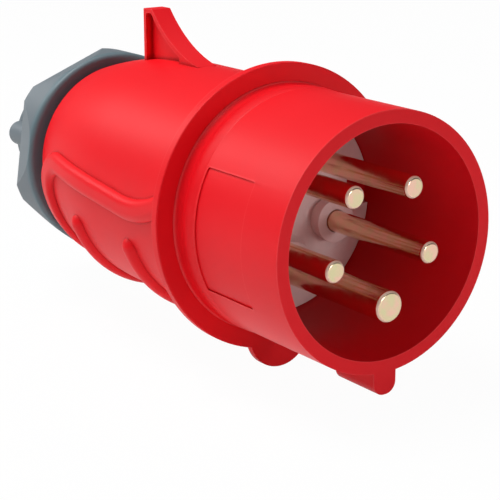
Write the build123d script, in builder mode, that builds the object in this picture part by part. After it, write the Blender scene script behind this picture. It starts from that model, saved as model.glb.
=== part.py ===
from build123d import *
import math
import os

# Industrial pin and sleeve plug, 16 A, five poles (3P+N+E), in millimetres. The sleeve's mouth
# faces +X and the mating axis is the X axis, with the origin at the mouth. +Z is up: the hook is
# on top, and the earth pin and the key are at the bottom. Places along the axis are given as
# depths behind the mouth.

os.makedirs("parts", exist_ok=True)

# Clearances: between pieces that rest on each other, that run on each other, and round screws
rest_gap = 0.2
running_gap = 0.3
screw_gap = 0.15

# How far a lug, hook or rail reaches into the wall that carries it
join_depth = 1.5

# Sleeve, the shroud round the pins
sleeve_r = 28.5
mouth_r = 25.55
floor_r = 24.75
floor_lead = 1.0
rim_round = 0.3

# Key under the mouth
key_width = 6.0
key_drop = 5.0
key_length = 13.3
key_corner_r = 2.7

# Groove in front of the flange
groove_length = 7.2
groove_step = 0.5
groove_hollow = 1.2
groove_hollow_length = 3.5
groove_round = 0.3

# Flange with its round lug at the bottom
flange_depth = 38.2
flange_thickness = 2.1
flange_r = 33.3
flange_round = 0.3
lug_r = 8.4
lug_centre = 30.0

# Shallow plain field on one side of the sleeve
field_start = 12.8
field_length = 17.6
field_height = 27.4
field_rise = 0.5
field_sink = 0.35
field_corner_r = 0.6

# Skirt behind the flange, on which the rear housing turns
skirt_r = 25.8
skirt_bore_r = 22.8
skirt_length = 13.7
ledge_thickness = 3.2
ledge_bore_r = 19.55
seal_offset = 2.3
seal_width = 2.0
seal_height = 1.2
seal_clearance = 0.05
seal_chamfer = 0.4

# Bayonet between the skirt and the rear housing
bayonet_count = 3
bayonet_first = 60.0
bayonet_offset = 7.9
bayonet_length = 2.6
bayonet_height = 1.1
bayonet_angle = 14.0
bayonet_play = 1.5
bayonet_turn = 30.0

# Contact carrier, the insert that holds the pins
carrier_flange = 2.4
carrier_flange_gap = 0.25
carrier_body_r = 19.25
carrier_length = 24.8
notch_r = 18.1
notch_width = 7.0
notch_rise = 1.5
notch_length = 4.8
ledge_key_height = 1.2
dish_r = 7.5
dish_floor_r = 4.7
dish_depth = 0.9
clip_groove = 1.0
clip_width = 1.2
clip_reach = 2.0
clip_opening = 50.0

# Pins on their circle, the earth pin at the bottom
poles = ("earth", "l1", "l2", "l3", "neutral")
pin_circle_r = 13.48
pin_gap = 0.35
pin_r = 2.5
earth_pin_r = 3.5
pin_tip = 0.9
earth_pin_lead = 2.2
tip_round = 0.8
pin_neck_step = 0.4
pin_neck_length = 1.0
barrel_wall = 1.9
earth_barrel_wall = 2.1
barrel_length = 15.4
wire_r = 2.1
earth_wire_r = 2.6
wire_depth = 11.0

# Terminal screws, one across each pin's wire hole
terminal_screw_r = 1.75
terminal_screw_length = 3.0
terminal_screw_offset = 5.6
terminal_hole_length = 8.0
slot_width = 0.7
slot_depth = 0.8
access_r = 2.5

# Cover behind the carrier and its screw
cover_thickness = 2.4
cover_wire_gap = 0.8
cover_screw_r = 1.5
cover_screw_length = 9.0
cover_screw_room = 1.0
cover_head_r = 2.9
cover_head_height = 1.8

# Rear housing, with its lengths taken from its own front edge
housing_r = 28.5
housing_length = 69.7
housing_straight_length = 35.4
housing_end_r = 23.7
housing_wall = 2.8
housing_floor = 3.0
spigot_r = 20.0
spigot_length = 11.5
spigot_wall = 4.3
thread_height = 0.5
seat_wall = 0.5
seat_bore_r = 11.5

# Hook on top of the housing, with a pocket in each cheek
hook_offset = 28.1
hook_length = 24.7
hook_width = 5.3
hook_height = 40.2
hook_tip_length = 4.0
hook_waist_length = 11.3
hook_waist_height = 33.9
hook_plate = 1.0
hook_pocket_length = 15.4
hook_pocket_round = 0.9
hook_web = 1.6
hook_round = 0.3

# Grip: a rail round the housing's sides and back, and two ribs under it
rail_height = 1.7
rail_round = 2.0
rail_width = 5.6
rail_front_top = 9.0
rail_bend_offset = 20.9
rail_bend_top = 2.6
rail_slope = 0.1
rail_end_gap = 2.5
rail_end_width = 7.0
rail_corner_r = 12.0
rail_inner_corner_r = 6.0
rib_offset = 20.9
rib_spacing = 25.5
rib_r = 2.8
rib_height = 1.8
rib_start_angle = 112.0

# Cable seal in the spigot
grommet_hole_r = 7.0
grommet_mouth_r = 10.0
grommet_mouth_depth = 3.0
grommet_stand_out = 1.2

# Clamp cage behind the seal
cage_ring_r = 18.6
cage_ring_thickness = 3.0
cage_length = 18.0
cage_hole_r = 9.2
finger_count = 8
finger_slot = 1.8

# Gland nut
nut_gap = 2.0
nut_r = 26.3
nut_front_round = 1.2
nut_grip_length = 10.5
nut_flat_r = 23.8
nut_flat_slope = 14.0
nut_flat_turn = 21.7
nut_shoulder_r = 23.0
nut_cone_length = 17.2
nut_cone_end_r = 15.2
nut_collar_r = 14.0
nut_collar_length = 5.0
nut_wall = 2.2
nut_end_round = 0.8
ear_turn = 81.7
ear_r = 3.3
ear_centre_r = 14.4
ear_length = 9.0
ear_inset = 2.0
ear_round = 1.5

# Places that follow from the sizes above
groove_start = flange_depth - groove_length
floor_depth = flange_depth - floor_lead
ledge_depth = floor_depth + carrier_flange + rest_gap
skirt_depth = flange_depth + flange_thickness
skirt_end = skirt_depth + skirt_length
seal_start = skirt_depth + seal_offset
seal_root_r = skirt_r - seal_height
bayonet_start = skirt_depth + bayonet_offset
bayonet_r = skirt_r + bayonet_height
carrier_end = floor_depth + carrier_length
clip_start = ledge_depth + ledge_thickness + rest_gap
clip_root_r = carrier_body_r - clip_groove
barrel_r = wire_r + barrel_wall
earth_barrel_r = earth_wire_r + earth_barrel_wall
barrel_start = carrier_end - barrel_length - rest_gap
terminal_depth = carrier_end - terminal_screw_offset
neck_depth = floor_depth + dish_depth
earth_tip = pin_tip - earth_pin_lead
cover_end = carrier_end + cover_thickness
housing_front = skirt_depth + running_gap
housing_bore_r = skirt_r + running_gap
housing_straight_end = housing_front + housing_straight_length
housing_end = housing_front + housing_length
hook_foot = housing_front + hook_offset
hook_rear = hook_foot + hook_length
rail_bend = housing_front + rail_bend_offset
rib_front = housing_front + rib_offset
seat_depth = housing_end - seat_wall
spigot_end = housing_end + spigot_length
spigot_bore_r = spigot_r - spigot_wall
grommet_r = spigot_bore_r - running_gap
grommet_start = seat_depth + rest_gap
grommet_end = spigot_end + grommet_stand_out
cage_start = grommet_end + rest_gap
cage_end = cage_start + cage_length
nut_front = housing_end + nut_gap
nut_grip_end = nut_front + nut_grip_length
nut_collar = nut_grip_end + nut_cone_length
nut_end = nut_collar + nut_collar_length
ear_rear = nut_end - ear_inset
nut_bore_r = spigot_r + thread_height + running_gap
nut_cone_r = nut_shoulder_r - nut_wall
nut_hole_r = nut_collar_r - nut_wall
nut_cone_slope = (nut_cone_r - nut_hole_r) / (nut_collar - nut_grip_end)

# Alignments that start a cylinder at a plane and run it towards the mouth or the rear
to_front = (Align.CENTER, Align.CENTER, Align.MIN)
to_rear = (Align.CENTER, Align.CENTER, Align.MAX)

# Angles round the axis are measured from +Z towards -Y, and the earth pin is at the bottom
pin_angles = {pole: 180 + place * 360 / len(poles) for place, pole in enumerate(poles)}


def meridian(angle):
    """The half plane through the axis at an angle: x along the axis, y outwards."""
    return Plane.XZ.rotated((angle, 0, 0))


def pin_plane(pole, depth):
    """Plane across a pin's axis at a depth: z towards the mouth, x away from the plug's axis."""
    angle = math.radians(pin_angles[pole])
    outwards = Vector(0, -math.sin(angle), math.cos(angle))
    return Plane(outwards * pin_circle_r - Vector(depth, 0, 0), x_dir=outwards, z_dir=(1, 0, 0))


def barrel_surface(x):
    """Radius of the rear housing's outside at a place along the axis."""
    run = housing_end - housing_straight_end
    fall = housing_r - housing_end_r
    bend_r = (run**2 + fall**2) / (2 * fall)
    past = max(0, -x - housing_straight_end)
    return housing_r - bend_r + math.sqrt(bend_r**2 - past**2)


def circles(part, depth, radius):
    """The round edges about the axis at a depth behind the mouth."""
    return (
        part.edges()
        .filter_by(GeomType.CIRCLE)
        .filter_by(lambda e: abs(e.arc_center.X + depth) < 1e-3 and abs(e.radius - radius) < 1e-3)
    )


# Sleeve shell: shroud, groove, flange, ledge for the carrier, and skirt, turned as one profile
with BuildPart() as field_cutter:
    with BuildSketch(Plane.XZ):
        with Locations((-field_start - field_length / 2, field_rise)):
            RectangleRounded(field_length, field_height, field_corner_r)
    extrude(amount=flange_r)
    with Locations(Rotation(0, 90, 0)):
        Cylinder(sleeve_r - field_sink, 2 * skirt_end, mode=Mode.SUBTRACT)

with BuildPart() as sleeve_shell:
    with BuildSketch(Plane.XZ) as sleeve_profile:
        with BuildLine():
            hollow_start = flange_depth - groove_hollow_length
            Polyline(
                (-hollow_start, sleeve_r - groove_step),
                (-groove_start, sleeve_r - groove_step),
                (-groove_start, sleeve_r),
                (0, sleeve_r),
                (0, mouth_r),
                (-floor_depth, floor_r),
                (-ledge_depth, floor_r),
                (-ledge_depth, ledge_bore_r),
                (-ledge_depth - ledge_thickness, ledge_bore_r),
                (-ledge_depth - ledge_thickness, skirt_bore_r),
                (-skirt_end, skirt_bore_r),
                (-skirt_end, skirt_r),
                (-skirt_depth, skirt_r),
                (-skirt_depth, flange_r),
                (-flange_depth, flange_r),
                (-flange_depth, sleeve_r - groove_step),
            )
            ThreePointArc(
                (-flange_depth, sleeve_r - groove_step),
                (-(hollow_start + flange_depth) / 2, sleeve_r - groove_step - groove_hollow),
                (-hollow_start, sleeve_r - groove_step),
            )
        make_face()
        corners = sleeve_profile.vertices()
        fillet(corners.sort_by_distance((-hollow_start, sleeve_r - groove_step))[0], groove_round)
        fillet(corners.sort_by_distance((-groove_start, sleeve_r))[0], groove_round)
        fillet(corners.sort_by_distance((0, sleeve_r))[0], rim_round)
        fillet(corners.sort_by_distance((0, mouth_r))[0], rim_round)
        fillet(corners.sort_by_distance((-skirt_end, skirt_r))[0], rim_round)
    revolve(axis=Axis.X)
    # Round lug on the flange
    with BuildSketch(Plane.YZ.offset(-flange_depth)):
        with Locations((0, -lug_centre)):
            Circle(lug_r)
        Circle(sleeve_r - join_depth, mode=Mode.SUBTRACT)
    extrude(amount=-flange_thickness)
    flange_edges = circles(sleeve_shell, flange_depth, flange_r) + circles(sleeve_shell, flange_depth, lug_r)
    fillet(flange_edges, flange_round)
    # Key, level with the rim
    with BuildSketch(Plane.YZ) as key_sketch:
        with Locations((0, -(mouth_r + sleeve_r) / 2)):
            Rectangle(key_width, key_drop + (sleeve_r - mouth_r) / 2, align=(Align.CENTER, Align.MAX))
        fillet(key_sketch.vertices().group_by(Axis.Y)[0], key_corner_r)
    extrude(amount=-key_length)
    add(field_cutter.part, mode=Mode.SUBTRACT)
    # Groove for the seal ring
    with BuildSketch(Plane.XZ):
        with Locations((-seal_start, seal_root_r)):
            Rectangle(seal_width, 2 * seal_height, align=(Align.MAX, Align.MIN))
    revolve(axis=Axis.X, mode=Mode.SUBTRACT)
    # Bayonet lugs
    for lug in range(bayonet_count):
        lug_middle = bayonet_first + lug * 360 / bayonet_count
        with BuildSketch(meridian(lug_middle - bayonet_angle / 2)):
            with Locations((-bayonet_start, skirt_r - join_depth)):
                Rectangle(bayonet_length, bayonet_height + join_depth, align=(Align.MAX, Align.MIN))
        revolve(axis=Axis.X, revolution_arc=bayonet_angle)
    # Two keys on the ledge that keep the carrier from turning
    with BuildSketch(Plane.YZ.offset(-ledge_depth)):
        with Locations((0, notch_rise)):
            Rectangle(floor_r + skirt_r, notch_width - 2 * rest_gap)
        Circle(ledge_bore_r, mode=Mode.SUBTRACT)
    extrude(amount=ledge_key_height)
sleeve_shell.part.label = "sleeve_shell"
export_step(sleeve_shell.part, "parts/sleeve_shell.step")

# Seal ring in the skirt's groove
with BuildPart() as seal_ring:
    with BuildSketch(Plane.XZ) as seal_section:
        with Locations((-seal_start - rest_gap / 2, seal_root_r + seal_clearance)):
            Rectangle(seal_width - rest_gap, seal_height - seal_clearance, align=(Align.MAX, Align.MIN))
        chamfer(seal_section.vertices().group_by(Axis.Z)[-1], seal_chamfer)
    revolve(axis=Axis.X)
seal_ring.part.label = "seal_ring"
export_step(seal_ring.part, "parts/seal_ring.step")

# Contact carrier: flange on the ledge, body through it, dished face, one bore for each pin
with BuildPart() as contact_carrier:
    with BuildSketch(Plane.XZ):
        with BuildLine():
            Polyline(
                (-floor_depth, 0),
                (-floor_depth, floor_r - carrier_flange_gap),
                (-floor_depth - carrier_flange, floor_r - carrier_flange_gap),
                (-floor_depth - carrier_flange, carrier_body_r),
                (-clip_start, carrier_body_r),
                (-clip_start, clip_root_r),
                (-clip_start - clip_width - rest_gap, clip_root_r),
                (-clip_start - clip_width - rest_gap, carrier_body_r),
                (-carrier_end, carrier_body_r),
                (-carrier_end, 0),
                close=True,
            )
        make_face()
    revolve(axis=Axis.X)
    # Notch on each side for the keys on the ledge
    with BuildSketch(Plane.YZ.offset(-floor_depth)):
        with Locations((0, notch_rise)):
            Rectangle(2 * floor_r, notch_width)
            Rectangle(2 * notch_r, notch_width, mode=Mode.SUBTRACT)
    extrude(amount=-notch_length, mode=Mode.SUBTRACT)
    for pole in poles:
        earth = pole == "earth"
        with Locations(pin_plane(pole, floor_depth)):
            Cone(dish_floor_r, dish_r, dish_depth, align=to_rear, mode=Mode.SUBTRACT)
            Cylinder(
                (earth_pin_r if earth else pin_r) + pin_gap, carrier_length, align=to_rear, mode=Mode.SUBTRACT
            )
        with Locations(pin_plane(pole, carrier_end)):
            Cylinder(
                (earth_barrel_r if earth else barrel_r) + screw_gap,
                barrel_length + rest_gap,
                align=to_front,
                mode=Mode.SUBTRACT,
            )
        # Way in for the screwdriver, from the body's side to the pin's barrel
        with Locations(pin_plane(pole, terminal_depth)):
            with Locations(Rotation(0, 90, 0)):
                Cylinder(access_r, carrier_body_r, align=to_front, mode=Mode.SUBTRACT)
    with Locations(Plane.YZ.offset(-carrier_end)):
        screw_hole_length = cover_screw_length - cover_thickness + cover_screw_room
        Cylinder(cover_screw_r + screw_gap, screw_hole_length, align=to_front, mode=Mode.SUBTRACT)
contact_carrier.part.label = "contact_carrier"
export_step(contact_carrier.part, "parts/contact_carrier.step")

# Open spring clip in the carrier's groove, behind the ledge
with BuildPart() as carrier_clip:
    with BuildSketch(meridian(180 + clip_opening / 2)):
        with Locations((-clip_start - rest_gap / 2, clip_root_r + rest_gap)):
            Rectangle(clip_width, clip_reach, align=(Align.MAX, Align.MIN))
    revolve(axis=Axis.X, revolution_arc=360 - clip_opening)
carrier_clip.part.label = "carrier_clip"
export_step(carrier_clip.part, "parts/carrier_clip.step")

# Cover over the carrier's rear end, with a hole for each wire
with BuildPart() as terminal_cover:
    with Locations(Plane.YZ.offset(-carrier_end)):
        Cylinder(carrier_body_r, cover_thickness, align=to_rear)
        Cylinder(cover_screw_r + screw_gap, cover_thickness, align=to_rear, mode=Mode.SUBTRACT)
    chamfer(circles(terminal_cover, cover_end, carrier_body_r), cover_thickness / 3)
    for pole in poles:
        with Locations(pin_plane(pole, carrier_end)):
            Cylinder(
                (earth_wire_r if pole == "earth" else wire_r) + cover_wire_gap,
                cover_thickness,
                align=to_rear,
                mode=Mode.SUBTRACT,
            )
terminal_cover.part.label = "terminal_cover"
export_step(terminal_cover.part, "parts/terminal_cover.step")

with BuildPart(Plane.YZ.offset(-cover_end)) as cover_screw:
    Cylinder(cover_screw_r, cover_screw_length, align=to_front)
    Cylinder(cover_head_r, cover_head_height, align=to_rear)
    chamfer(circles(cover_screw, cover_end + cover_head_height, cover_head_r), cover_head_height / 3)
    with Locations((0, 0, -cover_head_height)):
        Box(slot_width, 2 * cover_head_r, slot_depth, align=to_front, mode=Mode.SUBTRACT)
cover_screw.part.label = "cover_screw"
export_step(cover_screw.part, "parts/cover_screw.step")

# Pins, each one piece with the barrel that takes its wire, and the screw across each barrel
for pole in poles:
    earth = pole == "earth"
    shaft_r = earth_pin_r if earth else pin_r
    tip_depth = earth_tip if earth else pin_tip
    wire_hole_r = earth_wire_r if earth else wire_r
    barrel_end = carrier_end - rest_gap
    with BuildPart(pin_plane(pole, barrel_start)) as pin:
        Cylinder(shaft_r, barrel_start - tip_depth, align=to_front)
        fillet(pin.edges().sort_by(Axis.X)[-1], tip_round)
        with BuildSketch(pin_plane(pole, neck_depth)):
            Circle(shaft_r)
            Circle(shaft_r - pin_neck_step, mode=Mode.SUBTRACT)
        extrude(amount=-pin_neck_length, mode=Mode.SUBTRACT)
        Cylinder(earth_barrel_r if earth else barrel_r, barrel_end - barrel_start, align=to_rear)
        with Locations((0, 0, barrel_start - barrel_end)):
            Cylinder(wire_hole_r, wire_depth, align=to_front, mode=Mode.SUBTRACT)
        with Locations(Location((0, 0, barrel_start - terminal_depth), (0, 90, 0))):
            Cylinder(
                terminal_screw_r + screw_gap, terminal_hole_length, align=to_front, mode=Mode.SUBTRACT
            )
    pin.part.label = "pin_" + pole
    export_step(pin.part, "parts/pin_" + pole + ".step")

    with BuildPart(pin_plane(pole, terminal_depth)) as terminal_screw:
        with Locations(Location((wire_hole_r, 0, 0), (0, 90, 0))):
            Cylinder(terminal_screw_r, terminal_screw_length, align=to_front)
            with Locations((0, 0, terminal_screw_length)):
                Box(slot_width, 2 * terminal_screw_r, slot_depth, align=to_rear, mode=Mode.SUBTRACT)
    terminal_screw.part.label = "terminal_screw_" + pole
    export_step(terminal_screw.part, "parts/terminal_screw_" + pole + ".step")

# Hook: a ramp and an upright rear face, with a pocket in each cheek that leaves a web between
with BuildPart() as hook:
    with BuildSketch(Plane.XZ):
        with BuildLine():
            Polyline(
                (-hook_foot, housing_r),
                (-hook_foot, housing_end_r - join_depth),
                (-hook_rear, housing_end_r - join_depth),
                (-hook_rear, hook_height),
                (-hook_rear + hook_tip_length, hook_height),
            )
            ThreePointArc(
                (-hook_rear + hook_tip_length, hook_height),
                (-hook_rear + hook_waist_length, hook_waist_height),
                (-hook_foot, housing_r),
            )
        make_face()
    extrude(amount=hook_width / 2, both=True)
    for side in (1, -1):
        with BuildSketch(Plane.XZ.offset(side * hook_web / 2)) as pocket:
            with BuildLine():
                apex = (-hook_rear + hook_plate, hook_height - hook_plate)
                tip_plate = (-hook_rear + hook_tip_length - hook_plate / 2, hook_height - hook_plate)
                Polyline(
                    (-hook_foot, housing_r - hook_plate),
                    (-hook_foot, housing_end_r - join_depth),
                    (-hook_rear + hook_plate, housing_end_r - join_depth),
                    apex,
                    tip_plate,
                )
                ThreePointArc(
                    tip_plate,
                    (-hook_rear + hook_waist_length - hook_plate / 2, hook_waist_height - hook_plate),
                    (-hook_foot, housing_r - hook_plate),
                )
            make_face()
            with Locations(apex):
                Rectangle(hook_pocket_length, hook_height, align=(Align.MIN, Align.MAX), mode=Mode.INTERSECT)
            fillet(pocket.vertices().sort_by_distance(apex)[0], hook_pocket_round)
            fillet(pocket.vertices().sort_by_distance(tip_plate)[0], hook_pocket_round)
        extrude(amount=side * hook_width, mode=Mode.SUBTRACT)
    top_edges = hook.edges().filter_by(Axis.Y).group_by(Axis.Z)[-1]
    fillet(top_edges, hook_round)

# Rail of the grip: a hooked band in side view, laid on the barrel's skin
with BuildPart() as grip_rail:
    with BuildSketch(Plane.XZ):
        with BuildLine():
            Line((-housing_front, housing_r - join_depth), (-housing_front, housing_r + rail_height))
            Line((-housing_front, housing_r + rail_height), (-housing_straight_end, housing_r + rail_height))
            TangentArc(
                (-housing_straight_end, housing_r + rail_height),
                (-housing_end, housing_end_r + rail_height),
                tangent=(-1, 0),
            )
            Line((-housing_end, housing_end_r + rail_height), (-housing_end, housing_end_r - join_depth))
            TangentArc(
                (-housing_straight_end, housing_r - join_depth),
                (-housing_end, housing_end_r - join_depth),
                tangent=(-1, 0),
            )
            Line((-housing_straight_end, housing_r - join_depth), (-housing_front, housing_r - join_depth))
        make_face()
    revolve(axis=Axis.X)
    with BuildSketch(Plane.XZ) as rail_side:
        rail_back = housing_end - rail_end_gap
        rail_inside = rail_back - rail_end_width
        outer_corner = (-rail_back, rail_bend_top + rail_slope * (rail_back - rail_bend))
        inner_corner = (-rail_inside, rail_bend_top - rail_width + rail_slope * (rail_inside - rail_bend))
        with BuildLine():
            Line((-housing_front, rail_front_top), (-housing_front, rail_front_top - rail_width))
            TangentArc(
                (-rail_bend, rail_bend_top - rail_width),
                (-housing_front, rail_front_top - rail_width),
                tangent=(1, -rail_slope),
            )
            Polyline(
                (-rail_bend, rail_bend_top - rail_width),
                inner_corner,
                (-rail_inside, -2 * housing_r),
                (-rail_back, -2 * housing_r),
                outer_corner,
                (-rail_bend, rail_bend_top),
            )
            TangentArc((-rail_bend, rail_bend_top), (-housing_front, rail_front_top), tangent=(1, -rail_slope))
        make_face()
        fillet(rail_side.vertices().sort_by_distance(inner_corner)[0], rail_inner_corner_r)
        fillet(rail_side.vertices().sort_by_distance(outer_corner)[0], rail_corner_r)
    extrude(amount=2 * housing_r, both=True, mode=Mode.INTERSECT)
    skin_edges = grip_rail.edges().filter_by(
        lambda e: math.hypot((e @ 0.5).Y, (e @ 0.5).Z) > barrel_surface((e @ 0.5).X) + 0.9 * rail_height
        and abs((e @ 0.5).X + housing_front) > 1e-3
    )
    fillet(skin_edges, rail_round)

# Rear housing: barrel, hook, rails and ribs, then the room inside, the spigot and the bayonet
with BuildPart() as rear_housing:
    with BuildSketch(Plane.XZ):
        with BuildLine():
            Polyline(
                (-housing_end, housing_end_r),
                (-housing_end, spigot_r),
                (-spigot_end, spigot_r),
                (-spigot_end, 0),
                (-housing_front, 0),
                (-housing_front, housing_r),
                (-housing_straight_end, housing_r),
            )
            TangentArc(
                (-housing_straight_end, housing_r), (-housing_end, housing_end_r), tangent=(-1, 0)
            )
        make_face()
    revolve(axis=Axis.X)
    add(hook.part)
    add(grip_rail.part)
    # Two round ribs under the hand, each with round ends
    for rib_depth in (rib_front, rib_front + rib_spacing):
        rib_centre_r = barrel_surface(-rib_depth) + rib_height - rib_r
        with BuildSketch(meridian(rib_start_angle)):
            with Locations((-rib_depth, rib_centre_r)):
                Circle(rib_r)
        revolve(axis=Axis.X, revolution_arc=2 * (180 - rib_start_angle))
        with Locations(
            Location((-rib_depth, 0, 0), (rib_start_angle, 0, 0)),
            Location((-rib_depth, 0, 0), (-rib_start_angle, 0, 0)),
        ):
            with Locations((0, 0, rib_centre_r)):
                Sphere(rib_r)
    # Bore for the skirt, wiring room, seat and bore for the cable seal
    with BuildSketch(Plane.XZ):
        with BuildLine():
            room_start = skirt_end + running_gap + rest_gap
            room_end = housing_end - housing_floor
            Polyline(
                (-housing_straight_end, housing_r - housing_wall),
                (-room_start, housing_r - housing_wall),
                (-room_start, housing_bore_r),
                (-housing_front, housing_bore_r),
                (-housing_front, 0),
                (-spigot_end, 0),
                (-spigot_end, spigot_bore_r),
                (-seat_depth, spigot_bore_r),
                (-seat_depth, seat_bore_r),
                (-room_end, seat_bore_r),
                (-room_end, barrel_surface(-room_end) - housing_wall),
            )
            TangentArc(
                (-housing_straight_end, housing_r - housing_wall),
                (-room_end, barrel_surface(-room_end) - housing_wall),
                tangent=(-1, 0),
            )
        make_face()
    revolve(axis=Axis.X, mode=Mode.SUBTRACT)
    # Bayonet tracks: each lug comes in along a slot and turns into the groove
    for lug in range(bayonet_count):
        lug_middle = bayonet_first + lug * 360 / bayonet_count
        half_slot = bayonet_angle / 2 + bayonet_play
        with BuildSketch(meridian(lug_middle - bayonet_turn - half_slot)):
            with Locations((-bayonet_start + running_gap, 0)):
                Rectangle(
                    bayonet_length + 2 * running_gap, bayonet_r + running_gap, align=(Align.MAX, Align.MIN)
                )
        revolve(axis=Axis.X, revolution_arc=bayonet_turn + 2 * half_slot, mode=Mode.SUBTRACT)
        with BuildSketch(meridian(lug_middle - bayonet_turn - half_slot)):
            with Locations((-housing_front, 0)):
                Rectangle(
                    bayonet_start - housing_front, bayonet_r + running_gap, align=(Align.MAX, Align.MIN)
                )
        revolve(axis=Axis.X, revolution_arc=2 * half_slot, mode=Mode.SUBTRACT)
rear_housing.part.label = "rear_housing"
export_step(rear_housing.part, "parts/rear_housing.step")

# Rubber cable seal in the spigot
with BuildPart() as cable_grommet:
    with BuildSketch(Plane.XZ):
        with BuildLine():
            Polyline(
                (-grommet_start, grommet_hole_r),
                (-grommet_start, grommet_r),
                (-grommet_end, grommet_r),
                (-grommet_end, grommet_mouth_r),
                (-grommet_end + grommet_mouth_depth, grommet_hole_r),
                close=True,
            )
        make_face()
    revolve(axis=Axis.X)
cable_grommet.part.label = "cable_grommet"
export_step(cable_grommet.part, "parts/cable_grommet.step")

# Clamp cage: a ring that presses the seal, with fingers that the nut's cone bends in on the cord
with BuildPart() as clamp_cage:
    with BuildSketch(Plane.XZ):
        with BuildLine():
            cone_start = cage_start + cage_ring_thickness
            finger_root_r = nut_cone_r - nut_cone_slope * (cone_start - nut_grip_end) - 2 * running_gap
            finger_tip_r = nut_hole_r - 2 * running_gap
            Polyline(
                (-cage_start, cage_hole_r),
                (-cage_start, cage_ring_r),
                (-cone_start, finger_root_r),
                (-nut_collar, finger_tip_r),
                (-cage_end, finger_tip_r),
                (-cage_end, cage_hole_r),
                close=True,
            )
        make_face()
    revolve(axis=Axis.X)
    with BuildSketch(Plane.YZ.offset(-cone_start)):
        with PolarLocations(0, finger_count):
            Rectangle(cage_ring_r, finger_slot, align=(Align.MIN, Align.CENTER))
    extrude(amount=-cage_length, mode=Mode.SUBTRACT)
clamp_cage.part.label = "clamp_cage"
export_step(clamp_cage.part, "parts/clamp_cage.step")

# Gland nut: a round rim that six tapering flats cut down, a cone, and a collar with two ears
with BuildPart() as gland_nut:
    with BuildSketch(Plane.XZ):
        with BuildLine():
            Polyline(
                (-nut_front, 0),
                (-nut_front, nut_r),
                (-nut_grip_end, nut_r),
                (-nut_grip_end, nut_shoulder_r),
                (-nut_collar, nut_cone_end_r),
                (-nut_collar, nut_collar_r),
                (-nut_end, nut_collar_r),
                (-nut_end, 0),
                close=True,
            )
        make_face()
    revolve(axis=Axis.X)
    fillet(circles(gland_nut, nut_front, nut_r), nut_front_round)
    with BuildSketch(Plane.YZ.offset(-nut_front)):
        front_flat_r = nut_flat_r + (nut_grip_end - nut_front) * math.tan(math.radians(nut_flat_slope))
        RegularPolygon(front_flat_r, 6, major_radius=False, rotation=nut_flat_turn)
    extrude(amount=-(nut_end - nut_front), taper=nut_flat_slope, mode=Mode.INTERSECT)
    fillet(circles(gland_nut, nut_end, nut_collar_r), nut_end_round)
    # Ears, which run forward into the cone
    with BuildSketch(Plane.YZ.offset(-ear_rear)):
        with PolarLocations(ear_centre_r, 2, start_angle=90 + ear_turn):
            Circle(ear_r)
    extrude(amount=ear_length)
    ear_edges = gland_nut.edges().filter_by(GeomType.CIRCLE).filter_by(lambda e: abs(e.radius - ear_r) < 1e-3)
    fillet(ear_edges.group_by(Axis.X)[0], ear_round)
    with BuildSketch(Plane.XZ):
        with BuildLine():
            cone_top = nut_grip_end - (nut_bore_r - nut_cone_r) / nut_cone_slope
            Polyline(
                (-nut_front, 0),
                (-nut_front, nut_bore_r),
                (-cone_top, nut_bore_r),
                (-nut_collar, nut_hole_r),
                (-nut_end, nut_hole_r),
                (-nut_end, 0),
                close=True,
            )
        make_face()
    revolve(axis=Axis.X, mode=Mode.SUBTRACT)
gland_nut.part.label = "gland_nut"
export_step(gland_nut.part, "parts/gland_nut.step")
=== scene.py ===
import math

import bpy
from mathutils import Matrix, Vector


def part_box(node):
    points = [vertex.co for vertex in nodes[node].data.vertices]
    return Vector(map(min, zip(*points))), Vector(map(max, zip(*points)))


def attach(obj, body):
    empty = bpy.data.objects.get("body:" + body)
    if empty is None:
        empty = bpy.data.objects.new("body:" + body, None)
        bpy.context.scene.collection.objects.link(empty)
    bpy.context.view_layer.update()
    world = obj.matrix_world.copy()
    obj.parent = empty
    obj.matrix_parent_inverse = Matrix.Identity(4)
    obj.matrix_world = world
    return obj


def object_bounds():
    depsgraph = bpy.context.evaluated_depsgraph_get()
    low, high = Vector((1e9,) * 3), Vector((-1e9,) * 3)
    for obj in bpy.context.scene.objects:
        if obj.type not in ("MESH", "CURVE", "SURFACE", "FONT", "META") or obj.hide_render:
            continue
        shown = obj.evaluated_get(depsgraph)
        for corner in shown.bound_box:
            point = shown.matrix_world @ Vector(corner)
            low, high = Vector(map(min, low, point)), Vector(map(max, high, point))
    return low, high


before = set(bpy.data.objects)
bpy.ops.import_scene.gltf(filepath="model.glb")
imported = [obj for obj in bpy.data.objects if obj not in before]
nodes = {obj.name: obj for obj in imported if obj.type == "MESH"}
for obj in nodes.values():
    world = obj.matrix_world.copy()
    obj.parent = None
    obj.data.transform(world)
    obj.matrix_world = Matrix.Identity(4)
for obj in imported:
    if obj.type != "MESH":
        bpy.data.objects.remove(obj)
cad_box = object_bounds()

# Camera. The plug lies on its mating axis, which is the x axis with the mouth at 0, and is seen
# from in front of the mouth, a little from above, through a long lens. The photograph's frame is
# 500 pixels wide.
camera_azimuth = math.radians(55.5)
camera_elevation = math.radians(15.74)
camera_roll = math.radians(-0.17)
camera_distance = 0.36699
focal_pixels, frame_pixels = 1562.5, 500
aim_along_axis, aim_below_axis = -0.05074, 0.01246
towards = Vector(
    (
        math.sin(camera_azimuth) * math.cos(camera_elevation),
        -math.cos(camera_azimuth) * math.cos(camera_elevation),
        math.sin(camera_elevation),
    )
)
level_right = Vector((0, 0, 1)).cross(towards).normalized()
level_up = towards.cross(level_right)
camera_right = level_right * math.cos(camera_roll) + level_up * math.sin(camera_roll)
camera_up = level_up * math.cos(camera_roll) - level_right * math.sin(camera_roll)
camera_aim = Vector((aim_along_axis, 0, 0)) - camera_up * aim_below_axis


def add(thing):
    """Puts an object into the scene."""
    bpy.context.collection.objects.link(thing)
    return thing


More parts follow.
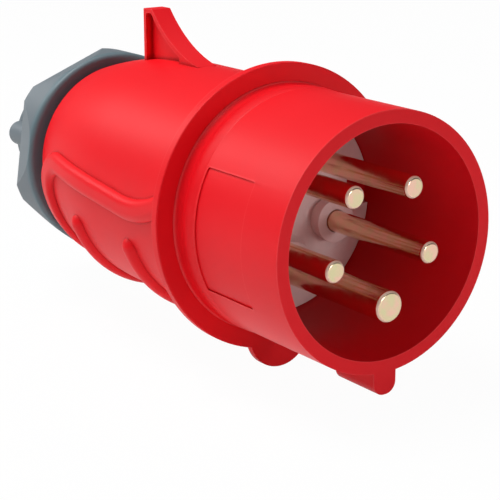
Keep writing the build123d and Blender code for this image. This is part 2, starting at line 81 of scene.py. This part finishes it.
lens = bpy.data.cameras.new("camera")
lens.sensor_width = 36
lens.lens = lens.sensor_width * focal_pixels / frame_pixels
lens.clip_start = 0.01
camera = add(bpy.data.objects.new("camera", lens))
camera_turn = Matrix((camera_right, camera_up, towards)).transposed().to_4x4()
camera.matrix_world = Matrix.Translation(camera_aim + towards * camera_distance) @ camera_turn
scene = bpy.context.scene
scene.camera = camera
scene.view_settings.view_transform = "Standard"

# Studio walls and lamps. The wall is white to look at, and in reflections it is white near the
# table and overhead, with grey between. A soft lamp hangs over the plug, one behind it on the left
# draws the long highlight on its side, and a small one in front lights the insert.
plain_white = (1, 1, 1, 1)
white_strength, grey_strength, sky_strength = 1.0, 0.10, 0.26
grey_from, grey_full = 0.00, 0.08  # how steeply a direction rises, 0 level and 1 overhead
overhead_from, overhead_full = 0.62, 0.80


class Value:
    """One output in a node tree, or only the tree. Sums and products on it add Math nodes."""

    def __init__(self, tree, socket=None):
        self.tree = tree
        self.socket = socket

    def node(self, kind, settings, inputs, output=0):
        """A new node: its settings, then the numbers, colours or values for its inputs."""
        made = self.tree.nodes.new(kind)
        for name, setting in settings.items():
            setattr(made, name, setting)
        for name, given in inputs.items():
            if isinstance(given, Value):
                self.tree.links.new(given.socket, made.inputs[name])
            else:
                made.inputs[name].default_value = given
        return Value(self.tree, made.outputs[output])

    def math(self, operation, *terms):
        """A Math node on these terms, in their order."""
        return self.node("ShaderNodeMath", {"operation": operation}, dict(enumerate(terms)))

    def __add__(self, other):
        return self.math("ADD", self, other)

    __radd__ = __add__

    def __sub__(self, other):
        return self.math("SUBTRACT", self, other)

    def __rsub__(self, other):
        return self.math("SUBTRACT", other, self)

    def __mul__(self, other):
        return self.math("MULTIPLY", self, other)

    __rmul__ = __mul__

    def axis(self, name):
        """The X, Y or Z part of a place or a direction."""
        return self.node("ShaderNodeSeparateXYZ", {}, {0: self}, name)

    def ray(self, kind):
        """1 for rays of a kind, such as Camera or Glossy, and 0 for others."""
        return self.node("ShaderNodeLightPath", {}, {}, f"Is {kind} Ray")

    def between(self, low, high):
        """0 up to low, 1 from high on, and a smooth step between them. Low may be the larger."""
        return self.node(
            "ShaderNodeMapRange",
            {"interpolation_type": "SMOOTHSTEP"},
            {"Value": self, "From Min": low, "From Max": high},
        )

    def near(self, at, reach, full=0.0):
        """1 at a place, or within full of it, and 0 past a reach."""
        return 1 - self.math("ABSOLUTE", self - at).between(full, reach)

    def mix(self, low, high):
        """A colour from low to high as this value goes from 0 to 1."""
        return self.node(
            "ShaderNodeMix", {"data_type": "RGBA"}, {"Factor": self, "A": low, "B": high}, "Result"
        )

    def blend(self, low, high):
        """A shader from low to high as this value goes from 0 to 1."""
        return self.node("ShaderNodeMixShader", {}, {0: self, 1: low, 2: high})

    def bump(self, height, strength):
        """A normal that this value raises, up to a height in metres."""
        raised = {"Height": self, "Distance": height, "Strength": strength}
        return self.node("ShaderNodeBump", {}, raised, "Normal")


def feed(receiver, **values):
    """Sets or links the inputs of a node, named with underscores for spaces."""
    for name, given in values.items():
        socket = receiver.inputs[name.replace("_", " ")]
        if isinstance(given, Value):
            given.tree.links.new(given.socket, socket)
        else:
            socket.default_value = given


def softbox(name, place, aim_x, side, watts):
    """A square soft lamp at a place, turned to a point on the plug's axis."""
    lamp = bpy.data.lights.new(name, "AREA")
    lamp.shape = "SQUARE"
    lamp.size = side
    lamp.energy = watts
    holder = add(bpy.data.objects.new(name, lamp))
    facing = (Vector((aim_x, 0, 0)) - Vector(place)).to_track_quat("-Z", "Y")
    holder.matrix_world = Matrix.Translation(place) @ facing.to_matrix().to_4x4()


scene.world = bpy.data.worlds.new("sky")
scene.world.use_nodes = True
sky = Value(scene.world.node_tree)
white_wall, grey_wall, soft_sky = (
    sky.node("ShaderNodeBackground", {}, {"Color": plain_white, "Strength": strength})
    for strength in (white_strength, grey_strength, sky_strength)
)
rise = sky.node("ShaderNodeTexCoord", {}, {}, "Generated").axis("Z")
on_grey = rise.between(grey_from, grey_full) - rise.between(overhead_from, overhead_full)
lit_by = sky.ray("Glossy").blend(soft_sky, on_grey.blend(white_wall, grey_wall))
looked_at = sky.ray("Camera") + sky.ray("Transmission")
feed(scene.world.node_tree.nodes["World Output"], Surface=looked_at.blend(lit_by, white_wall))

softbox("key_lamp", place=(-0.20, -0.28, 0.82), aim_x=-0.07, side=0.36, watts=5.6)
softbox("side_lamp", place=(-0.73, -0.36, 0.48), aim_x=-0.04, side=0.30, watts=1.9)
softbox("front_lamp", place=(1.25, 0.30, 0.12), aim_x=-0.04, side=0.20, watts=2.1)

# Table top, a sheet of white paper just under the plug's lowest point. It is as white as the wall
# to look at, apart from the plug's faint shadow, and throws light back on the plug's underside.
table_gap, table_reach = 0.0002, 8
paper_white, own_glow = (0.88, 0.88, 0.88, 1), 0.97
table_height = cad_box[0][2] - table_gap
table_corners = [
    (table_reach * x, table_reach * y, table_height)
    for x, y in ((-1, -1), (1, -1), (1, 1), (-1, 1))
]
table_mesh = bpy.data.meshes.new("table_top")
table_mesh.from_pydata(table_corners, [], [(0, 1, 2, 3)])
table_top = add(bpy.data.objects.new("table_top", table_mesh))
paper = bpy.data.materials.new("paper")
paper.use_nodes = True
sheet = paper.node_tree.nodes["Principled BSDF"]
feed(sheet, Base_Color=paper_white, Roughness=0.9, Specular_IOR_Level=0.0)
table = Value(paper.node_tree, sheet.outputs[0])
glow = table.node("ShaderNodeEmission", {}, {"Color": plain_white})
looked_at = table.ray("Camera") + table.ray("Glossy") + table.ray("Transmission")
shown = (looked_at * own_glow).blend(table, glow)
feed(paper.node_tree.nodes["Material Output"], Surface=shown)
table_mesh.materials.append(paper)

# Sleeve and rear housing, joined by a bayonet and moulded in red polyamide with a smooth, slightly
# cloudy satin gloss. Creases are painted darker, a painted shade, and edges turn a little paler,
# partly from wear and partly as a painted highlight. Deep inside, the sleeve's bore is painted
# darker, a painted shade, and its plain field ends in front at a painted shade line.
red_deep, red_pale = (0.84, 0.005, 0.012, 1), (0.90, 0.006, 0.014, 1)
red_wear_and_highlight, red_crease_shade = (0.98, 0.085, 0.09, 1), (0.50, 0.002, 0.005, 1)
bore_radius, bore_edge = 0.0257, 0.0262
bore_shade_from, bore_shade_full = -0.008, -0.034
field_front, shade_line_width = -0.0130, 0.00018
field_middle, field_half_height, field_fade = 0.0005, 0.0130, 0.0004
field_side = -0.001


def finish(name):
    """A new material, its main shader and the place on the piece."""
    material = bpy.data.materials.new(name)
    material.use_nodes = True
    tree = material.node_tree
    place = Value(tree).node("ShaderNodeTexCoord", {}, {}, "Object")
    return material, tree.nodes["Principled BSDF"], place


def noise(place, waves, detail):
    """Soft random cloud from 0 to 1, with so many waves in a metre."""
    spread = {"Vector": place, "Scale": waves, "Detail": detail}
    return place.node("ShaderNodeTexNoise", {}, spread, "Fac")


def shut_in(place, reach, inside):
    """How much of the space within reach the piece itself fills, outside or inside its skin."""
    settings = {"samples": 8, "only_local": True, "inside": inside}
    return 1 - place.node("ShaderNodeAmbientOcclusion", settings, {"Distance": reach}, "AO")


def crease(place, reach):
    """1 in a crease and 0 on open surface."""
    return shut_in(place, reach, inside=False)


def edge(place, reach):
    """1 at an outer edge and 0 on a broad face."""
    return shut_in(place, reach, inside=True)


def dress(material, *node_names):
    """Gives a finish to pieces of the frame."""
    for node_name in node_names:
        for slot in nodes[node_name].material_slots:
            slot.material = material


def red_moulding(name, reach, low, high, field_shade_line=0.0, deep_shade=0.0):
    """The red finish, with painted shade in creases, darkening them within a reach, from low to
    high.

    The painted shade at the field's front line and deep in the bore is the sleeve's alone.
    """
    material, shader, place = finish(name)
    cloud = noise(place, waves=45, detail=3)
    grain = noise(place, waves=2600, detail=2)
    scuffs = 0.3 + 0.7 * noise(place, waves=420, detail=3)
    # Edges are paler: partly wear, partly a painted highlight.
    pale_edges = edge(place, reach=0.0004).between(0.12, 0.45) * scuffs
    along, across, up = (place.axis(axis) for axis in "XYZ")
    # A painted shade line at the foot of the plain field's front step.
    on_field = up.near(field_middle, field_half_height + field_fade, field_half_height)
    shade_line = along.near(field_front, shade_line_width) * on_field * across.between(0.0, field_side)
    # Painted shade deep inside the sleeve's bore, growing further in.
    in_bore = 1 - (across * across + up * up).between(bore_radius**2, bore_edge**2)
    marked = shade_line * field_shade_line + in_bore * along.between(bore_shade_from, bore_shade_full) * deep_shade
    # Painted shade darkens the creases.
    shaded = crease(place, reach).between(low, high)
    shaded = shaded.math("MAXIMUM", shaded, marked)
    colour_before_crease_shade = (pale_edges * 0.6).mix(cloud.mix(red_deep, red_pale), red_wear_and_highlight)
    feed(
        shader,
        Base_Color=shaded.mix(colour_before_crease_shade, red_crease_shade),
        Roughness=0.41 + 0.09 * cloud,
        Normal=grain.bump(height=0.00002, strength=0.25),
        IOR=1.5,
        Specular_IOR_Level=0.19,
    )
    return material


shell_red = red_moulding(
    "shell_red", reach=0.0006, low=0.25, high=0.95, field_shade_line=0.45, deep_shade=0.75
)
grip_red = red_moulding("grip_red", reach=0.0016, low=0.08, high=0.42)
dress(shell_red, "sleeve_shell")
dress(grip_red, "rear_housing")

# Root of the flange, moulded in one with the sleeve. A low rounded bead runs round the sleeve, and
# behind it the wall flares out into the flange's face. The outline's points give the depth behind
# the mouth and the distance from the axis, in millimetres, from the flange forward.
flare = ((38.18, 29.10), (38.08, 28.90), (37.90, 28.74), (37.65, 28.60), (37.30, 28.48))
hollow = ((36.80, 28.42), (36.00, 28.40), (35.30, 28.40))
bead_back = ((35.05, 28.46), (34.90, 28.60), (34.60, 28.68), (34.10, 28.74), (33.40, 28.76))
bead_front = ((32.60, 28.73), (31.90, 28.66), (31.30, 28.57), (31.00, 28.51), (30.90, 28.46))
inside_wall = ((30.90, 27.40), (38.18, 27.40))
root_outline = flare + hollow + bead_back + bead_front + inside_wall
root_outline = root_outline[::-1]  # this way round, the faces point outwards
root_steps = 192
corners, faces = [], []
for step in range(root_steps):
    turn = 2 * math.pi * step / root_steps
    here = step * len(root_outline)
    after = (step + 1) % root_steps * len(root_outline)
    for point, (depth, distance) in enumerate(root_outline):
        radius = distance / 1000
        corners.append((-depth / 1000, -radius * math.sin(turn), radius * math.cos(turn)))
        beside = (point + 1) % len(root_outline)
        faces.append((here + point, here + beside, after + beside, after + point))
root_mesh = bpy.data.meshes.new("flange_root")
root_mesh.from_pydata(corners, [], faces)
root_mesh.shade_smooth()
root_mesh.materials.append(shell_red)
flange_root = add(bpy.data.objects.new("flange_root", root_mesh))
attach(flange_root, "front")

# Contact carrier and terminal cover, moulded in a warm light grey glass-filled plastic with a dull
# face. The carrier sits on the sleeve's ledge, where its spring clip holds it, and the cover is
# screwed on behind it.
insert_deep, insert_pale = (0.88, 0.70, 0.68, 1), (0.95, 0.78, 0.76, 1)
insert_crease_shade = (0.20, 0.12, 0.12, 1)
insert_grey, shader, place = finish("insert_grey")
speckle = noise(place, waves=900, detail=4)
# Painted shade darkens the creases.
shaded = crease(place, reach=0.0020).between(0.2, 0.9)
feed(
    shader,
    Base_Color=shaded.mix(speckle.mix(insert_deep, insert_pale), insert_crease_shade),
    Roughness=0.5 + 0.15 * speckle,
    Normal=speckle.bump(height=0.00003, strength=0.3),
)
dress(insert_grey, "contact_carrier", "terminal_cover")

# Collars on the carrier's face, moulded in one with it. Each pin comes out through the middle of a
# low cone with rounded edges, a larger one for the thicker earth pin. Its foot stands in the dish
# round the pin's bore.
poles = ("earth", "l1", "l2", "l3", "neutral")
earth_radius, pole_radius = 0.0035, 0.0025
collar_height, collar_sunk = 0.0030, 0.0009
pin_gap, face_width, foot_width, edge_round = 0.00012, 0.0021, 0.0027, 0.0002
collar_steps, round_steps = 96, 4


def grown(name, shape, sizes, finish_material, seeds):
    """A piece that a tree of Geometry Nodes makes on seed points from named sizes."""
    tree = bpy.data.node_groups.new(name, "GeometryNodeTree")
    tree.is_modifier = True
    sockets = {"Seeds": "Geometry", **dict.fromkeys(sizes, "Float"), "Finish": "Material"}
    for socket_name, kind in sockets.items():
        tree.interface.new_socket(socket_name, in_out="INPUT", socket_type="NodeSocket" + kind)
    tree.interface.new_socket("Geometry", in_out="OUTPUT", socket_type="NodeSocketGeometry")
    given = Value(tree)
    wanted = {
        socket_name: given.node("NodeGroupInput", {}, {}, socket_name) for socket_name in sockets
    }
    real = given.node("GeometryNodeRealizeInstances", {}, {"Geometry": shape(given, wanted)})
    painted = given.node(
        "GeometryNodeSetMaterial", {}, {"Geometry": real, "Material": wanted["Finish"]}
    )
    feed(tree.nodes.new("NodeGroupOutput"), Geometry=painted)
    seed_mesh = bpy.data.meshes.new(name + "_seeds")
    seed_mesh.from_pydata(seeds, [], [])
    seed_points = add(bpy.data.objects.new(name + "_seeds", seed_mesh))
    maker = seed_points.modifiers.new(name, "NODES")
    maker.node_group = tree
    settings = {**sizes, "Finish": finish_material}
    for item in tree.interface.items_tree:
        if item.name in settings:
            maker[item.identifier] = settings[item.name]
    evaluated = seed_points.evaluated_get(bpy.context.evaluated_depsgraph_get())
    made = bpy.data.objects.new(name, bpy.data.meshes.new_from_object(evaluated))
    bpy.data.objects.remove(seed_points)
    return add(made)


def on_seeds(given, wanted, shape, turn):
    """A copy of the shape on each seed point, turned about the y axis."""
    copies = {"Points": wanted["Seeds"], "Instance": shape, "Rotation": (0, turn, 0)}
    return given.node("GeometryNodeInstanceOnPoints", {}, copies)


def collar_cone(given, size):
    """A ring round each seed point with sloping sides and rounded corners, which faces +X."""
    wall = given.node(
        "GeometryNodeCurvePrimitiveQuadrilateral",
        {"mode": "TRAPEZOID"},
        {
            "Height": size["Height"],
            "Bottom Width": size["Foot Radius"] - size["Hole Radius"],
            "Top Width": size["Face Radius"] - size["Hole Radius"],
            "Offset": (size["Face Radius"] - size["Foot Radius"]) * 0.5,
        },
    )
    rounded = given.node(
        "GeometryNodeFilletCurve",
        {"mode": "POLY"},
        {"Curve": wall, "Count": round_steps, "Radius": size["Edge Round"]},
    )
    middle = given.node(
        "GeometryNodeCurvePrimitiveCircle",
        {},
        {"Resolution": collar_steps, "Radius": (size["Foot Radius"] + size["Hole Radius"]) * 0.5},
    )
    ring = given.node("GeometryNodeCurveToMesh", {}, {"Curve": middle, "Profile Curve": rounded})
    return on_seeds(given, size, ring, math.pi / 2)


carrier_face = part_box("contact_carrier")[1][0]
for name, on_poles, pin_radius in (
    ("pole_collars", poles[1:], pole_radius),
    ("earth_collar", poles[:1], earth_radius),
):
    seeds = []
    for pole in on_poles:
        low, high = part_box("pin_" + pole)
        middle_y, middle_z = (low[1] + high[1]) / 2, (low[2] + high[2]) / 2
        seeds.append((carrier_face + (collar_height - collar_sunk) / 2, middle_y, middle_z))
    collar_sizes = {
        "Height": collar_height + collar_sunk,
        "Hole Radius": pin_radius + pin_gap,
        "Face Radius": pin_radius + face_width,
        "Foot Radius": pin_radius + foot_width,
        "Edge Round": edge_round,
    }
    collars = grown(name, collar_cone, collar_sizes, insert_grey, seeds)
    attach(collars, "front")

# Pins, turned from brass, nickel plated and set in the carrier's bores. The plating is satin with a
# warm cast and fine turning marks run round it. The tips' faces are painted a mottled pink and
# green, a painted reflection, and their rounded rims are paler and less metallic, partly rubbed
# dull by plugging in and partly a painted highlight. The masks for tips and rims go by how far a
# face looks forward.
shank_copper, shank_brass = (0.93, 0.52, 0.39, 1), (0.84, 0.62, 0.38, 1)
tip_pink_reflection, tip_green_reflection = (0.82, 0.52, 0.40, 1), (0.68, 0.61, 0.36, 1)
rim_rubbed_and_highlit = (0.92, 0.66, 0.52, 1)
pin_nickel, shader, place = finish("pin_nickel")
mottle = noise(place, waves=420, detail=2).between(0.30, 0.70)
turned = place.node(
    "ShaderNodeTexWave",
    {"bands_direction": "X"},
    {"Vector": place, "Scale": 420.0, "Distortion": 2.0},
    "Fac",
)
forward = place.node("ShaderNodeTexCoord", {}, {}, "Normal").axis("X")
tip = forward.between(0.80, 0.96)
rim = forward.between(0.25, 0.55) * (1 - tip)
# On the tips' faces, the pink and green mottle is a painted reflection.
plated = tip.mix(mottle.mix(shank_copper, shank_brass), mottle.mix(tip_pink_reflection, tip_green_reflection))
# The rims' pale, less metallic colour is partly rubbed plating and partly a painted highlight.
feed(
    shader,
    Base_Color=rim.mix(plated, rim_rubbed_and_highlit),
    Metallic=1 - 0.8 * rim,
    Roughness=0.15 + 0.10 * mottle + 0.25 * rim,
    Normal=turned.bump(height=0.000006, strength=0.15),
)
dress(pin_nickel, *("pin_" + pole for pole in poles))

# Terminal screws, cover screw and the carrier's spring clip, zinc-plated steel. The screws are
# turned into the pins' barrels and clamp the wires.
zinc_dull, zinc_bright = (0.55, 0.55, 0.52, 1), (0.72, 0.72, 0.70, 1)
zinc, shader, place = finish("zinc")
patina = noise(place, waves=500, detail=4)
feed(
    shader,
    Base_Color=patina.mix(zinc_dull, zinc_bright),
    Metallic=1.0,
    Roughness=0.28 + 0.2 * patina,
)
dress(zinc, "cover_screw", "carrier_clip", *("terminal_screw_" + pole for pole in poles))

# Seal ring and cable seal, black nitrile rubber with a dull, slightly dusty skin. The ring sits in
# the skirt's groove and the seal in the spigot.
rubber_black, rubber_dusty = (0.012, 0.012, 0.012, 1), (0.035, 0.034, 0.033, 1)
rubber, shader, place = finish("rubber")
bloom = noise(place, waves=300, detail=5)
feed(
    shader,
    Base_Color=bloom.mix(rubber_black, rubber_dusty),
    Roughness=0.6 + 0.2 * bloom,
    Normal=bloom.bump(height=0.00004, strength=0.3),
)
dress(rubber, "seal_ring", "cable_grommet")

# Gland nut and clamp cage, moulded in blue-grey polyamide with a dull, finely grained skin. Creases
# are painted darker, a painted shade, and the nut's front is painted less red and a little darker,
# a painted shade where it sits close behind the red housing. The nut turns on the housing's spigot
# and presses the cage on the cable seal.
nut_deep, nut_pale = (0.138, 0.168, 0.190, 1), (0.165, 0.198, 0.223, 1)
nut_front_painted_shade = (0.112, 0.170, 0.195, 1)
nut_worn, nut_crease_shade = (0.33, 0.35, 0.37, 1), (0.05, 0.055, 0.06, 1)
front_shade_from, front_shade_full = 0.0028, 0.0012
nut_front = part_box("gland_nut")[1][0]
nut_grey, shader, place = finish("nut_grey")
cloud = noise(place, waves=60, detail=3)
grain = noise(place, waves=1800, detail=2)
scuffs = noise(place, waves=380, detail=3).between(0.20, 0.70)
pale_edges = edge(place, reach=0.0007).between(0.15, 0.50) * scuffs
# Painted shade darkens the creases.
shaded = crease(place, reach=0.0008).between(0.25, 0.90)
# The front is painted less red and a little darker, a painted shade.
at_front = place.axis("X").between(nut_front - front_shade_from, nut_front - front_shade_full)
colour_before_crease_shade = at_front.mix(cloud.mix(nut_deep, nut_pale), nut_front_painted_shade)
colour_before_crease_shade = (pale_edges * 0.4).mix(colour_before_crease_shade, nut_worn)
feed(
    shader,
    Base_Color=shaded.mix(colour_before_crease_shade, nut_crease_shade),
    Roughness=0.42 + 0.14 * cloud,
    Normal=grain.bump(height=0.00003, strength=0.35),
)
dress(nut_grey, "gland_nut", "clamp_cage")

# Thread on the spigot, moulded in one with the rear housing: a rounded ridge of 3 mm pitch that the
# gland nut turns on. It shows when the nut is slackened.
thread_start = (-0.1112, 0, 0)
thread_sizes = {"Root Radius": 0.0199, "Ridge Radius": 0.00055, "Pitch": 0.003, "Turns": 3.2}
steps_in_a_turn, ridge_sides = 64, 10


def thread_ridge(given, size):
    """A helix back from each seed point along the x axis, with a round ridge swept along it."""
    helix = given.node(
        "GeometryNodeCurveSpiral",
        {},
        {
            "Resolution": steps_in_a_turn,
            "Rotations": size["Turns"],
            "Start Radius": size["Root Radius"],
            "End Radius": size["Root Radius"],
            "Height": size["Turns"] * size["Pitch"],
        },
    )
    ridge = given.node(
        "GeometryNodeCurvePrimitiveCircle",
        {},
        {"Resolution": ridge_sides, "Radius": size["Ridge Radius"]},
    )
    swept = given.node(
        "GeometryNodeCurveToMesh",
        {},
        {"Curve": helix, "Profile Curve": ridge, "Fill Caps": True},
    )
    return on_seeds(given, size, swept, -math.pi / 2)


spigot_thread = grown("spigot_thread", thread_ridge, thread_sizes, grip_red, [thread_start])
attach(spigot_thread, "housing")
